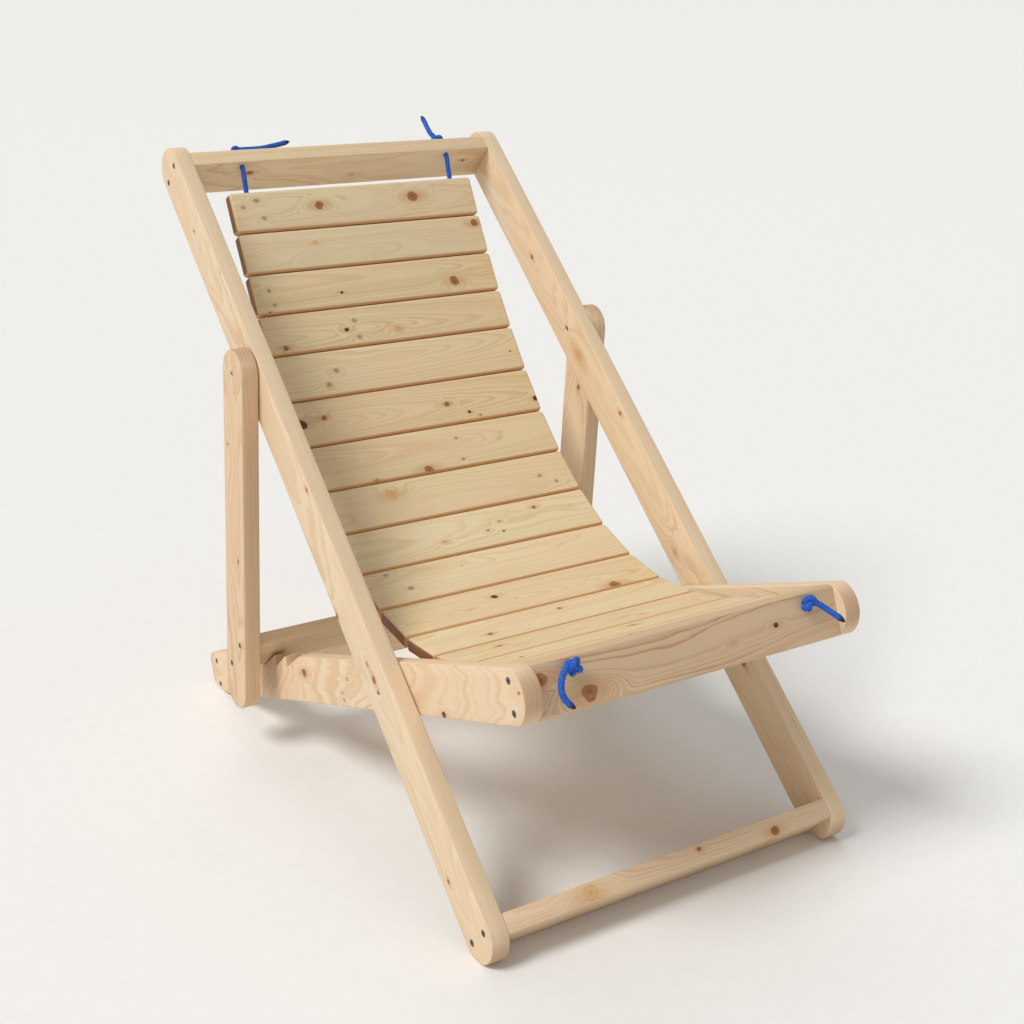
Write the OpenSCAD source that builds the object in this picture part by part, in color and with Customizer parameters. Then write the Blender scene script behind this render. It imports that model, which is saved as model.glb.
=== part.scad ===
// Folding chaise lounge in planed softwood: a back frame and a seat frame cross on one pivot,
// a prop frame hangs from the back and hooks into notches of the seat, and a sling of loose
// slats threaded on two ropes makes the back rest and the seat.
// X runs to the right, Y to the back, Z up. The origin is on the floor under the middle.

/* [Timber] */
// Thickness of the side boards and of the cross rails
board_t = 27; // [20:0.5:36]
// Depth of the side boards
board_w = 71; // [60:1:90]
// Outer width of the back frame
frame_w = 600; // [540:10:800]
// Gap between two boards that swing past each other
side_gap = 1.5; // [1:0.1:3]

/* [Back frame] */
// Angle of the back frame above the floor, in degrees
back_lean = 42.4; // [40:0.1:46]
// Distance between the round ends' centres of a back board
back_len = 1274; // [1200:2:1400]
// How far the top rail's upper face lies past the upper round end's centre
top_rail_past = 6; // [0:0.5:12]
// How far the bottom rail's lower face lies past the lower round end's centre
bottom_rail_past = 15; // [8:0.5:20]
// Distance of the seat pivot from the lower round end's centre
seat_pivot_up = 345; // [320:1:380]
// Distance of the prop pivot from the lower round end's centre
prop_pivot_up = 881; // [840:1:920]
// Depth of the flats that the two feet stand on
foot_flat = 0.8; // [0.4:0.1:2]

/* [Seat frame] */
// Distance of the front arc's centre in front of the pivot
seat_front = 291; // [260:1:330]
// Radius of the front arc
front_r = 40; // [38:0.5:60]
// Distance of the rear skid's centre behind the pivot
skid_back = 667; // [640:1:700]
// Radius of the rear skid
skid_r = 90; // [80:1:120]
// Length of the tail past the skid's centre
tail_len = 57; // [45:1:70]
// Rounding of the tail's upper corner
tail_r = 15; // [8:1:24]
// Distance of the front rail's front face past the front arc's centre
front_rail_past = 24; // [16:0.5:28]
// Distance of the rear rail's middle past the skid's centre
rear_rail_past = 28; // [20:1:36]
// Distance of the first notch's wall behind the pivot
notch_first = 379; // [360:1:400]
// Distance from one notch to the next
notch_pitch = 47; // [42:0.5:54]
// Number of notches
notches = 4; // [3:1:5]
// Depth of a notch
notch_deep = 17; // [14:0.5:20]
// Extra length of the first notch's slope
notch_lead = 5.6; // [0:0.1:12]

/* [Prop frame] */
// Notch that the crossbar sits in, counted from the front
bar_notch = 3; // [2:1:3]
// Thickness of the crossbar
bar_t = 22; // [18:0.5:27]
// Width of the crossbar
bar_w = 71; // [60:1:80]
// Angle of the crossbar to the seat boards' upper edge, in degrees
bar_lean = 30.4; // [26:0.2:36]
// Distance from the crossbar's middle to the legs' lower round centre
leg_below = 58; // [40:1:64]

/* [Sling] */
// Clearance between a slat's end and the seat board
slat_clear = 19.5; // [14:0.5:45]
// Thickness of a slat
slat_t = 20; // [18:0.5:21]
// Width of a narrow slat
narrow_w = 65; // [62:0.5:68]
// Number of narrow slats at the head
narrow_n = 4; // [4:1:4]
// Width of a wide slat
wide_w = 75; // [72:0.5:77]
// Gap between two slats, at the rope
slat_gap = 5; // [4.5:0.1:6]
// Rounding of a slat's long edges
slat_r = 2; // [1:0.1:4]
// Distance from the top rail down to the first slat's rope joint
head_drop = 38.6; // [30:0.2:50]
// Height of that joint above the back boards' middle line
head_rise = 3.7; // [0:0.1:8]

/* [Rope] */
// Diameter of the rope
rope_d = 8; // [6:0.2:9]
// Clearance around the rope in its holes
rope_clear = 0.3; // [0.3:0.05:0.6]
// Distance of each rope from the slats' ends
rope_in = 35; // [29:0.5:55]
// Height of the top rail's rope holes above the boards' middle line
head_hole_rise = 25; // [18:0.5:27]
// Height of the front rail's rope holes above the boards' middle line
front_hole_rise = 20; // [16:0.5:25]
// Diameter of a knot
knot_d = 22; // [18:0.5:25]
// Length of a knot
knot_len = 17; // [14:0.5:20]
// Diameter of a rope's loose end
tail_d = 8.4; // [6:0.2:9]

/* [Hardware] */
// Diameter of the pivot pins
pin_d = 7; // [5:0.5:8]
// Running clearance around a pin
pin_clear = 0.06; // [0.02:0.01:0.1]
// Height of a pin's end above the board
pin_proud = 1.2; // [0.6:0.1:2]
// Diameter of the washers between the boards
washer_d = 18; // [14:1:24]
// Width of the hex socket in a pin's end, across its corners
socket_d = 4.4; // [3:0.1:4.8]
// Shank diameter of the screws
screw_d = 4.5; // [3.5:0.1:5]
// Head diameter of the screws
screw_head_d = 8.6; // [7:0.1:10]
// Length of the screws
screw_len = 70; // [55:1:80]
// Distance between the two screws of a rail's end
screw_apart = 40; // [32:1:44]
// Distance between the two screws of the crossbar's end
bar_screw_apart = 56; // [36:1:58]

/* [Hidden] */
$fn = 64;

// Faces that a cut runs past
over = 1;
// Clearance of a screw in its hole
screw_clear = 0.1;
// Length of a screw's conical head
screw_cone = 2.6;
// Depth and width of the cross in a screw's head
cross_deep = 1.2;
cross_w = 0.9;
// Depth of the hex socket in a pin
socket_deep = 2;
// Chamfer of a pin's ends
pin_chamfer = 0.5;
// How deep the prop pins end below the back boards' inner faces
pin_recess = 3;
// Clearance of the crossbar in its notch
bar_seat = 0.3;
// Gap between two rope lengths that turn against each other
rope_gap = 0.3;
// The sling is in two halves that meet at this slat's upper joint, with a wider gap between them
lower_half = 8;
halves_gap = 2.5;
// Distance that the rope above it stops short of the open joint
upper_stop = 3.6;
// Easing of the crossbar's long edges
bar_r = 2;
// Washers end this far short of the board that turns
washer_clear = 0.3;
// Radius of a rope hole and of the pin's hole
rope_hole_r = rope_d / 2 + rope_clear;
pin_hole_r = pin_d / 2 + pin_clear;

// Half width of the side boards, and where each kind of board lies across the width
half_w = board_w / 2;
back_x = frame_w / 2 - board_t;
seat_x = back_x - side_gap - board_t;
slat_len = 2 * (seat_x - slat_clear);
rope_x = slat_len / 2 - rope_in;
leg_x = frame_w / 2 + side_gap;

// The back frame stands on its lower round ends, cut flat
foot_z = half_w - foot_flat;
back_y = back_len * cos(back_lean) + half_w;
seat_pivot = [seat_pivot_up * cos(back_lean), foot_z + seat_pivot_up * sin(back_lean)];
prop_pivot = [prop_pivot_up * cos(back_lean), foot_z + prop_pivot_up * sin(back_lean)];

// The seat frame turns on its pivot until the skids, cut flat as well, meet the floor
skid_rise = skid_r - half_w;
skid_reach = norm([skid_back, skid_rise]);
seat_tilt = atan2(skid_rise, skid_back) + asin((seat_pivot.y - skid_r + foot_flat) / skid_reach);
front_y = seat_pivot.x - seat_front * cos(seat_tilt) - front_r;
mid_y = (front_y + back_y) / 2;

// A place given as distance behind the pivot and height over the seat boards' middle line
function seat_point(w, v) = seat_pivot
    + [w * cos(seat_tilt) + v * sin(seat_tilt), v * cos(seat_tilt) - w * sin(seat_tilt)];
function back_point(s, v) =
    [s * cos(back_lean) - v * sin(back_lean), foot_z + s * sin(back_lean) + v * cos(back_lean)];

// The crossbar touches the slope of its notch and the tip of the tooth behind it
notch_slope = atan2(notch_deep, notch_pitch);
bar_wall = notch_first + notch_pitch * (bar_notch - 1);
bar_ahead = (notch_deep + bar_seat / sin(bar_lean) - bar_seat / cos(notch_slope))
    / (tan(notch_slope) + 1 / tan(bar_lean));
bar_low = [bar_wall - bar_ahead,
    half_w - notch_deep + bar_seat / cos(notch_slope) + bar_ahead * tan(notch_slope)];
bar_mid = bar_low + [-cos(bar_lean), sin(bar_lean)] * bar_w / 2
    + [sin(bar_lean), cos(bar_lean)] * bar_t / 2;
bar_at = seat_point(bar_mid.x, bar_mid.y);

// The legs reach from the prop pivot to the crossbar
leg_run = bar_at - prop_pivot;
leg_angle = atan2(-leg_run.y, leg_run.x);
bar_reach = norm(leg_run);
leg_len = bar_reach + leg_below;

// The sling: where each slat's upper rope joint lies, from the angle of each slat to the floor
slats = 15;
slat_angles = [62.5, 61, 59, 56.5, 53.5, 50, 45, 39, 31, 21, 10, -2, -12.5, -20, -25];
function slat_w(i) = i < narrow_n ? narrow_w : wide_w;
function slat_pitch(i) = slat_w(i) + slat_gap;
function slat_down(i) = [-cos(slat_angles[i]), -sin(slat_angles[i])];
top_rail_under = back_len + top_rail_past - board_t;
sling_top = back_point(top_rail_under - head_drop, head_rise);
function joint_at(i) = i == 0 ? sling_top : joint_at(i - 1) + slat_pitch(i - 1) * slat_down(i - 1);
sling_end = joint_at(slats);

// The sling's end seen from the seat pivot, as distance behind it and height over the boards
end_run = sling_end - seat_pivot;
end_in_seat = [end_run.x * cos(seat_tilt) - end_run.y * sin(seat_tilt),
    end_run.x * sin(seat_tilt) + end_run.y * cos(seat_tilt)];
front_face = -(seat_front + front_rail_past);
front_hole = [front_face + board_t, front_hole_rise];
front_pull = front_hole - end_in_seat;
front_start = end_in_seat + front_pull * (rope_d / 2 + rope_gap) / norm(front_pull);

// How a head rope bends below its hole: shares of the drop and of the way back to the slat
head_bend_shares = [[0, 0], [0.12, 0.03], [0.3, 0.2], [1, 1]];

// Sides of a rope's tube, and rings between two points of a route
tube_sides = 12;
tube_steps = 3;

// Loose rope ends, measured from their holes' mouths: across, out of the rail, up
head_left_route =[[8, 8, 0], [24, 8, 0], [46, 8, 1], [70, 10, 4], [96, 13, 8]];
head_right_route = [[-4, 10, 0], [-9, 20, 0], [-10, 34, 0], [-9, 50, -1], [-9, 64, -2]];
front_left_route = [[-7, 9, 2], [-15, 12, 0], [-24, 13, -12], [-27, 14, -26], [-22, 15, -39], [-13, 16, -48]];
front_right_route = [[6, 10, 1], [12, 14, -3], [22, 20, -14], [30, 27, -24], [37, 31, -33]];

module in_back() {
    translate([0, -mid_y, foot_z]) rotate([back_lean, 0, 0]) children();
}

module in_seat() {
    translate([0, seat_pivot.x - mid_y, seat_pivot.y]) rotate([-seat_tilt, 0, 0]) children();
}

module in_prop() {
    translate([0, prop_pivot.x - mid_y, prop_pivot.y]) rotate([-leg_angle, 0, 0]) children();
}

module in_bar() {
    in_seat() translate([0, bar_mid.x, bar_mid.y]) rotate([180 - bar_lean, 0, 0]) children();
}

module in_slat(i) {
    translate([0, joint_at(i).x - mid_y, joint_at(i).y]) rotate([slat_angles[i], 0, 0]) children();
}

// An outline in Y and Z that is given its thickness along X
module board(x, thick) {
    translate([x, 0, 0]) rotate([90, 0, 90]) linear_extrude(thick) children();
}

module below_floor() {
    translate([-frame_w, -back_len, -board_w]) cube([2 * frame_w, 2 * back_len, board_w]);
}

module to_side(side) {
    mirror([side < 0 ? 1 : 0, 0, 0]) children();
}

// A bore along X
module bore(r, x, length) {
    translate([x, 0, 0]) rotate([0, 90, 0]) cylinder(r = r, h = length);
}

module round_rect(length, width, r) {
    translate([-length / 2, -width / 2 + r]) square([length, width - 2 * r]);
    translate([-length / 2 + r, -width / 2]) square([length - 2 * r, width]);
    for (u = [-1, 1], v = [-1, 1])
        translate([u * (length / 2 - r), v * (width / 2 - r)]) circle(r = r);
}

// A countersunk screw whose head is flush at x = 0 and whose tip points to -X
module screw_solid(grow) {
    rotate([0, -90, 0]) {
        cylinder(d1 = screw_head_d + 2 * grow, d2 = screw_d + 2 * grow, h = screw_cone);
        cylinder(d = screw_d + 2 * grow, h = screw_len + grow);
    }
}

module screw() {
    difference() {
        screw_solid(0);
        for (turn = [0, 90])
            rotate([turn, 0, 0])
                translate([-cross_deep, -screw_d / 2, -cross_w / 2])
                    cube([cross_deep + over, screw_d, cross_w]);
    }
}

// Places two screws, side by side along Z, with their heads in the face at x
module screw_pair(x, y, apart) {
    for (side = [-1, 1], up = [-1, 1])
        to_side(side) translate([x, y, up * apart / 2]) children();
}

// Outlines of the boards
module back_outline() {
    translate([0, -half_w]) square([back_len, board_w]);
    for (s = [0, back_len]) translate([s, 0]) circle(r = half_w, $fn = 96);
}

module seat_outline() {
    translate([-seat_front, -half_w]) square([seat_front + skid_back, board_w]);
    intersection() {
        translate([-seat_front, 0]) circle(r = front_r, $fn = 96);
        translate([-seat_front - front_r, -half_w]) square([front_r + over, board_w]);
    }
    intersection() {
        translate([skid_back, skid_rise]) circle(r = skid_r, $fn = 128);
        union() {
            translate([skid_back - over, -half_w]) square([tail_len + over - tail_r, board_w]);
            translate([skid_back - over, -half_w]) square([tail_len + over, board_w - tail_r]);
            translate([skid_back + tail_len - tail_r, half_w - tail_r]) circle(r = tail_r);
        }
    }
}

// Saw-tooth notches along the seat boards' upper edge: steep behind, sloping up to the front
module notch_cuts() {
    for (i = [0 : notches - 1]) {
        wall = notch_first + i * notch_pitch;
        run = notch_pitch + (i == 0 ? notch_lead : 0);
        polygon([[wall, half_w + over], [wall, half_w - notch_deep], [wall - run, half_w],
            [wall - run, half_w + over]]);
    }
}

module leg_outline() {
    translate([0, -half_w]) square([leg_len, board_w]);
    for (t = [0, leg_len]) translate([t, 0]) circle(r = half_w, $fn = 96);
}

// Screw places of each rail
module top_screws() {
    in_back() screw_pair(frame_w / 2, top_rail_under + board_t / 2, screw_apart) children();
}

module bottom_screws() {
    in_back() screw_pair(frame_w / 2, board_t / 2 - bottom_rail_past, screw_apart) children();
}

module front_screws() {
    in_seat() screw_pair(seat_x + board_t, front_face + board_t / 2, screw_apart) children();
}

module rear_screws() {
    in_seat() screw_pair(seat_x + board_t, skid_back + rear_rail_past, screw_apart) children();
}

module bar_screws() {
    in_bar() rotate([90, 0, 0]) screw_pair(leg_x + board_t, 0, bar_screw_apart) children();
}

// Boards of the back frame
module back_rail(side) {
    color("navajowhite") difference() {
        in_back() to_side(side) difference() {
            board(back_x, board_t) back_outline();
            for (s = [seat_pivot_up, prop_pivot_up])
                translate([0, s, 0]) bore(pin_hole_r, back_x - over, board_t + 2 * over);
        }
        top_screws() screw_solid(screw_clear);
        bottom_screws() screw_solid(screw_clear);
        below_floor();
    }
}

module top_rail() {
    color("wheat") difference() {
        in_back() difference() {
            board(-back_x, 2 * back_x) intersection() {
                back_outline();
                translate([top_rail_under, -half_w]) square([board_t, board_w]);
            }
            for (x = [-rope_x, rope_x])
                translate([x, top_rail_under - over, head_hole_rise]) rotate([-90, 0, 0])
                    cylinder(r = rope_hole_r, h = board_t + 2 * over);
        }
        top_screws() screw_solid(screw_clear);
    }
}

module bottom_rail() {
    color("wheat") difference() {
        in_back() board(-back_x, 2 * back_x) intersection() {
            back_outline();
            translate([-bottom_rail_past, -half_w]) square([board_t, board_w]);
        }
        bottom_screws() screw_solid(screw_clear);
        below_floor();
    }
}

// Boards of the seat frame
module seat_rail(side) {
    color("navajowhite") difference() {
        in_seat() to_side(side) difference() {
            board(seat_x, board_t) difference() {
                seat_outline();
                notch_cuts();
            }
            bore(pin_hole_r, seat_x - over, board_t + 2 * over);
        }
        front_screws() screw_solid(screw_clear);
        rear_screws() screw_solid(screw_clear);
        below_floor();
    }
}

module front_rail() {
    color("wheat") difference() {
        in_seat() difference() {
            board(-seat_x, 2 * seat_x) intersection() {
                seat_outline();
                translate([front_face, -half_w]) square([board_t, board_w]);
            }
            for (x = [-rope_x, rope_x])
                translate([x, front_face - over, front_hole_rise]) rotate([-90, 0, 0])
                    cylinder(r = rope_hole_r, h = board_t + 2 * over);
        }
        front_screws() screw_solid(screw_clear);
    }
}

module rear_rail() {
    color("wheat") difference() {
        in_seat() board(-seat_x, 2 * seat_x) intersection() {
            seat_outline();
            translate([skid_back + rear_rail_past - board_t / 2, -half_w]) square([board_t, board_w]);
        }
        rear_screws() screw_solid(screw_clear);
        below_floor();
    }
}

// Boards of the prop frame
module prop_leg(side) {
    color("burlywood") difference() {
        in_prop() to_side(side) difference() {
            board(leg_x, board_t) leg_outline();
            bore(pin_hole_r, leg_x - over, board_t + 2 * over);
        }
        bar_screws() screw_solid(screw_clear);
    }
}

module prop_bar() {
    color("wheat") difference() {
        in_bar() board(-leg_x, 2 * leg_x) round_rect(bar_w, bar_t, bar_r);
        bar_screws() screw_solid(screw_clear);
    }
}

// A slat hangs below its upper rope joint, with a hole for each rope from edge to edge
module slat(i) {
    color("bisque") in_slat(i) translate([0, -slat_gap / 2 - slat_w(i) / 2, 0]) difference() {
        board(-slat_len / 2, slat_len) round_rect(slat_w(i), slat_t, slat_r);
        for (x = [-rope_x, rope_x])
            translate([x, slat_w(i) / 2 + over, 0]) rotate([90, 0, 0])
                cylinder(r = rope_hole_r, h = slat_w(i) + 2 * over);
    }
}

// The two rope lengths in a slat end in a ball at the next joint
module slat_rope(i) {
    start = rope_d / 2 + (i == lower_half ? halves_gap : rope_gap);
    end = slat_pitch(i) - (i + 1 == lower_half ? upper_stop : 0);
    color("royalblue") in_slat(i) for (x = [-rope_x, rope_x]) {
        translate([x, -start, 0]) rotate([90, 0, 0])
            cylinder(d = rope_d, h = end - start);
        translate([x, -end, 0]) sphere(d = rope_d, $fn = 32);
    }
}

// From the knot through the top rail, bending below the hole's mouth, and into the first slat
module head_ropes() {
    bends = [for (share = head_bend_shares)
        [0, top_rail_under - share[0] * head_drop,
            head_hole_rise - share[1] * (head_hole_rise - head_rise)]];
    slat_way = slat_angles[0] - back_lean;
    into_slat = bends[len(bends) - 1]
        - (rope_d / 2 - rope_gap) * [0, cos(slat_way), sin(slat_way)];
    path = concat([[0, top_rail_under + board_t, head_hole_rise]], bends, [into_slat]);
    color("royalblue") in_back() for (x = [-rope_x, rope_x])
        translate([x, 0, 0]) tube(path, rope_d, [1, 0, 0]);
}

// From just past the last slat's rope, bending at the hole's mouth, to the front knot
module front_ropes() {
    path = [[0, front_start.x, front_start.y], [0, front_hole.x, front_hole.y],
        [0, front_face, front_hole_rise]];
    color("royalblue") in_seat() for (x = [-rope_x, rope_x])
        translate([x, 0, 0]) tube(path, rope_d, [1, 0, 0]);
}

// An overhand knot, as the barrel that its turns fill, standing on y = 0 along Y
module knot() {
    turn_r = knot_len / 4;
    rotate([-90, 0, 0]) rotate_extrude() union() {
        for (z = [turn_r, knot_len - turn_r]) translate([knot_d / 2 - turn_r, z]) circle(r = turn_r);
        square([knot_d / 2 - turn_r, knot_len]);
    }
}

module head_knots() {
    color("royalblue") in_back() for (x = [-rope_x, rope_x])
        translate([x, top_rail_under + board_t, head_hole_rise]) knot();
}

module front_knots() {
    color("royalblue") in_seat() for (x = [-rope_x, rope_x])
        translate([x, front_face, front_hole_rise]) rotate([180, 0, 0]) knot();
}

// A smooth curve through a route's points
function spline(a, b, c, d, t) = 0.5 * (2 * b + (c - a) * t + (2 * a - 5 * b + 4 * c - d) * t * t
    + (3 * b - a - 3 * c + d) * t * t * t);
function smooth(route) = let (n = len(route)) concat(
    [for (i = [0 : n - 2], k = [0 : tube_steps - 1])
        spline(route[max(i - 1, 0)], route[i], route[i + 1], route[min(i + 2, n - 1)], k / tube_steps)],
    [route[n - 1]]);
function unit(v) = v / norm(v);

// A tube along a path: rings of points square to the path, joined by triangles. The normal is
// a direction that the path never takes
module tube(path, d, normal) {
    n = len(path);
    ways = [for (i = [0 : n - 1]) unit(path[min(i + 1, n - 1)] - path[max(i - 1, 0)])];
    rings = [for (i = [0 : n - 1], k = [0 : tube_sides - 1])
        let (side = unit(cross(ways[i], normal)), other = cross(ways[i], side),
            turn = 360 * k / tube_sides)
        path[i] + d / 2 * (side * cos(turn) + other * sin(turn))];
    walls = [for (i = [0 : n - 2], k = [0 : tube_sides - 1], half = [0, 1])
        let (next = (k + 1) % tube_sides, a = i * tube_sides, b = a + tube_sides)
        half == 0 ? [a + k, a + next, b + next] : [a + k, b + next, b + k]];
    polyhedron(rings, concat([[for (k = [tube_sides - 1 : -1 : 0]) k]], walls,
        [[for (k = [0 : tube_sides - 1]) (n - 1) * tube_sides + k]]));
}

// The mouths of the rope holes, from which the loose ends' routes are measured
module at_head_knot(x) {
    in_back() translate([x, top_rail_under + board_t, head_hole_rise]) children();
}

module at_front_knot(x) {
    in_seat() translate([x, front_face, front_hole_rise]) mirror([0, 1, 0]) children();
}

module head_tail(side) {
    color("mediumblue") at_head_knot(side * rope_x)
        tube(smooth(side < 0 ? head_left_route : head_right_route), tail_d, [0, 0, 1]);
}

module front_tail(side) {
    color("mediumblue") at_front_knot(side * rope_x)
        tube(smooth(side < 0 ? front_left_route : front_right_route), tail_d, [0, 1, 0]);
}

// Screws, one node for each rail
module top_rail_screws() {
    color("silver") top_screws() screw();
}

module bottom_rail_screws() {
    color("silver") bottom_screws() screw();
}

module front_rail_screws() {
    color("silver") front_screws() screw();
}

module rear_rail_screws() {
    color("silver") rear_screws() screw();
}

module prop_bar_screws() {
    color("silver") bar_screws() screw();
}

// A pivot pin along X with chamfered ends and a hex socket in the outer one
module pin(x, length) {
    translate([x, 0, 0]) rotate([0, 90, 0]) difference() {
        union() {
            cylinder(d1 = pin_d - 2 * pin_chamfer, d2 = pin_d, h = pin_chamfer);
            translate([0, 0, pin_chamfer]) cylinder(d = pin_d, h = length - 2 * pin_chamfer);
            translate([0, 0, length - pin_chamfer])
                cylinder(d1 = pin_d, d2 = pin_d - 2 * pin_chamfer, h = pin_chamfer);
        }
        translate([0, 0, length - socket_deep])
            cylinder(d = socket_d, h = socket_deep + over, $fn = 6);
    }
}

module seat_pivot_pin(side) {
    start = seat_x - pin_proud;
    color("lightgray") in_back() to_side(side) translate([0, seat_pivot_up, 0])
        pin(start, frame_w / 2 + pin_proud - start);
}

module prop_pivot_pin(side) {
    start = back_x + pin_recess;
    color("lightgray") in_back() to_side(side) translate([0, prop_pivot_up, 0])
        pin(start, leg_x + board_t + pin_proud - start);
}

// Washers fill most of the gap between the boards at each pivot
module washer(x) {
    thick = side_gap - washer_clear;
    difference() {
        bore(washer_d / 2, x, thick);
        bore(pin_hole_r, x - over, thick + 2 * over);
    }
}

module pivot_washers() {
    color("gray") in_back() for (side = [-1, 1]) to_side(side) {
        translate([0, seat_pivot_up, 0]) washer(back_x - side_gap + washer_clear);
        translate([0, prop_pivot_up, 0]) washer(frame_w / 2);
    }
}

back_rail(-1);  // back_rail_left
back_rail(1);  // back_rail_right
top_rail();
bottom_rail();
seat_rail(-1);  // seat_rail_left
seat_rail(1);  // seat_rail_right
front_rail();
rear_rail();
prop_leg(-1);  // prop_leg_left
prop_leg(1);  // prop_leg_right
prop_bar();
slat(0);  // slat_01
slat(1);  // slat_02
slat(2);  // slat_03
slat(3);  // slat_04
slat(4);  // slat_05
slat(5);  // slat_06
slat(6);  // slat_07
slat(7);  // slat_08
slat(8);  // slat_09
slat(9);  // slat_10
slat(10);  // slat_11
slat(11);  // slat_12
slat(12);  // slat_13
slat(13);  // slat_14
slat(14);  // slat_15
slat_rope(0);  // rope_01
slat_rope(1);  // rope_02
slat_rope(2);  // rope_03
slat_rope(3);  // rope_04
slat_rope(4);  // rope_05
slat_rope(5);  // rope_06
slat_rope(6);  // rope_07
slat_rope(7);  // rope_08
slat_rope(8);  // rope_09
slat_rope(9);  // rope_10
slat_rope(10);  // rope_11
slat_rope(11);  // rope_12
slat_rope(12);  // rope_13
slat_rope(13);  // rope_14
slat_rope(14);  // rope_15
head_ropes();
front_ropes();
head_knots();
front_knots();
head_tail(-1);  // head_tail_left
head_tail(1);  // head_tail_right
front_tail(-1);  // front_tail_left
front_tail(1);  // front_tail_right
top_rail_screws();
bottom_rail_screws();
front_rail_screws();
rear_rail_screws();
prop_bar_screws();
seat_pivot_pin(-1);  // seat_pivot_left
seat_pivot_pin(1);  // seat_pivot_right
prop_pivot_pin(-1);  // prop_pivot_left
prop_pivot_pin(1);  // prop_pivot_right
pivot_washers();
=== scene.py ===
"""A folding chaise lounge in planed pine: back frame, notched seat frame, prop frame, and a sling of
slats threaded on two blue ropes. Lengths are in millimetres until a piece is put in its place."""
from math import asin, atan2, cos, hypot, pi, radians, sin, tan

import bmesh
import bpy
import numpy as np
from mathutils import Matrix, Vector


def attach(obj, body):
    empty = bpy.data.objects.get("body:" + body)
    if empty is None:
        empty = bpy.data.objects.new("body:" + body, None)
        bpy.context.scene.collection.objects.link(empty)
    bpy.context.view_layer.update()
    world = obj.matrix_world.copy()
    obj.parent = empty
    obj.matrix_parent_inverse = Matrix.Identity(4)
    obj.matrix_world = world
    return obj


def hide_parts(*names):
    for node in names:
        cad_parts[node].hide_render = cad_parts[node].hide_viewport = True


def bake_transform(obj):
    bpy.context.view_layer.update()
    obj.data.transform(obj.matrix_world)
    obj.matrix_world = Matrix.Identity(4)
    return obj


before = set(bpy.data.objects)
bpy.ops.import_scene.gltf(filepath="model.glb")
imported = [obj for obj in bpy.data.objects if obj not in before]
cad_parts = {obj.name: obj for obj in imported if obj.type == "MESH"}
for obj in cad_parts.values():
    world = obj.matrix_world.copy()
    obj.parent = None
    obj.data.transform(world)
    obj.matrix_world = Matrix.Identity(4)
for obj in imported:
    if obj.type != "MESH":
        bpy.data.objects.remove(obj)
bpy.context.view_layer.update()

bpy.ops.object.select_all(action="DESELECT")
MM = 0.001

# The chair's measures, as the part's source has them
BOARD_T, BOARD_W, FRAME_W, SIDE_GAP = 27, 71, 600, 1.5
BACK_LEAN, BACK_LEN, SEAT_PIVOT_UP, PROP_PIVOT_UP = 42.4, 1274, 345, 881
TOP_RAIL_PAST, BOTTOM_RAIL_PAST, FOOT_FLAT = 6, 15, 0.8
SEAT_FRONT, FRONT_R, SKID_BACK, SKID_R, TAIL_LEN, TAIL_R = 291, 40, 667, 90, 57, 15
FRONT_RAIL_PAST, REAR_RAIL_PAST = 24, 28
NOTCH_FIRST, NOTCH_PITCH, NOTCHES, NOTCH_DEEP, NOTCH_LEAD = 379, 47, 4, 17, 5.6
BAR_NOTCH, BAR_T, BAR_W, BAR_LEAN, LEG_BELOW, BAR_SEAT, BAR_R = 3, 22, 71, 30.4, 58, 0.3, 2
SLAT_LEN, SLAT_T, SLAT_GAP, NARROW_W, WIDE_W, NARROW_N = 450, 20, 5, 65, 75, 4
HEAD_DROP, HEAD_RISE, ROPE_D, ROPE_X, TAIL_D = 38.6, 3.7, 8, 190, 8.4
HEAD_HOLE_RISE, FRONT_HOLE_RISE, ROPE_HOLE_R = 25, 20, 4.3
PIN_HOLE_R, SCREW_D, SCREW_HEAD_D, SCREW_CONE = 3.56, 4.5, 8.6, 2.6
SCREW_APART, BAR_SCREW_APART = 40, 56
SLAT_ANGLES = [62.5, 61, 59, 56.5, 53.5, 50, 45, 39, 31, 21, 10, -2, -12.5, -20, -25]
HEAD_BEND_SHARES = [(0, 0), (0.12, 0.03), (0.3, 0.2), (1, 1)]
SLATS = len(SLAT_ANGLES)
OPEN_JOINT = 8  # the sling's two chains of bodies meet between slats 8 and 9

# What only the visible pieces have: how far edges are eased, the slats' corners, the screws' seats
# against their heads, the widened ends of the prop pins' bores, and the ropes' braid
SIDE_EASE, SEAT_EASE, LEG_EASE, RAIL_EASE, FRONT_EASE = 1.6, 1.5, 2.2, 1.4, 0.9
SLAT_SWELL, SLAT_CORNER, SLAT_EASE = 1.5, 6.5, 5
SEAT_DEEPER, SEAT_WIDER, MOUTH_R, MOUTH_DEEP = 0.4, 1.5, 5.4, 2.4
STRANDS, STRAND_LAY, STRAND_RELIEF, TIP_LEN = 8, 3.4, 0.045, 8
ROPE_STEP, KNOT_STEP = 1.6, 0.9  # distance between a tube's rings
PAST, CONE_PAST = 5, 0.5  # how far a straight and a conical cutter run past the board
SHARP, SMOOTH = radians(32), radians(34)  # edges sharper than this are eased, flatter ones shaded smooth

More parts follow.
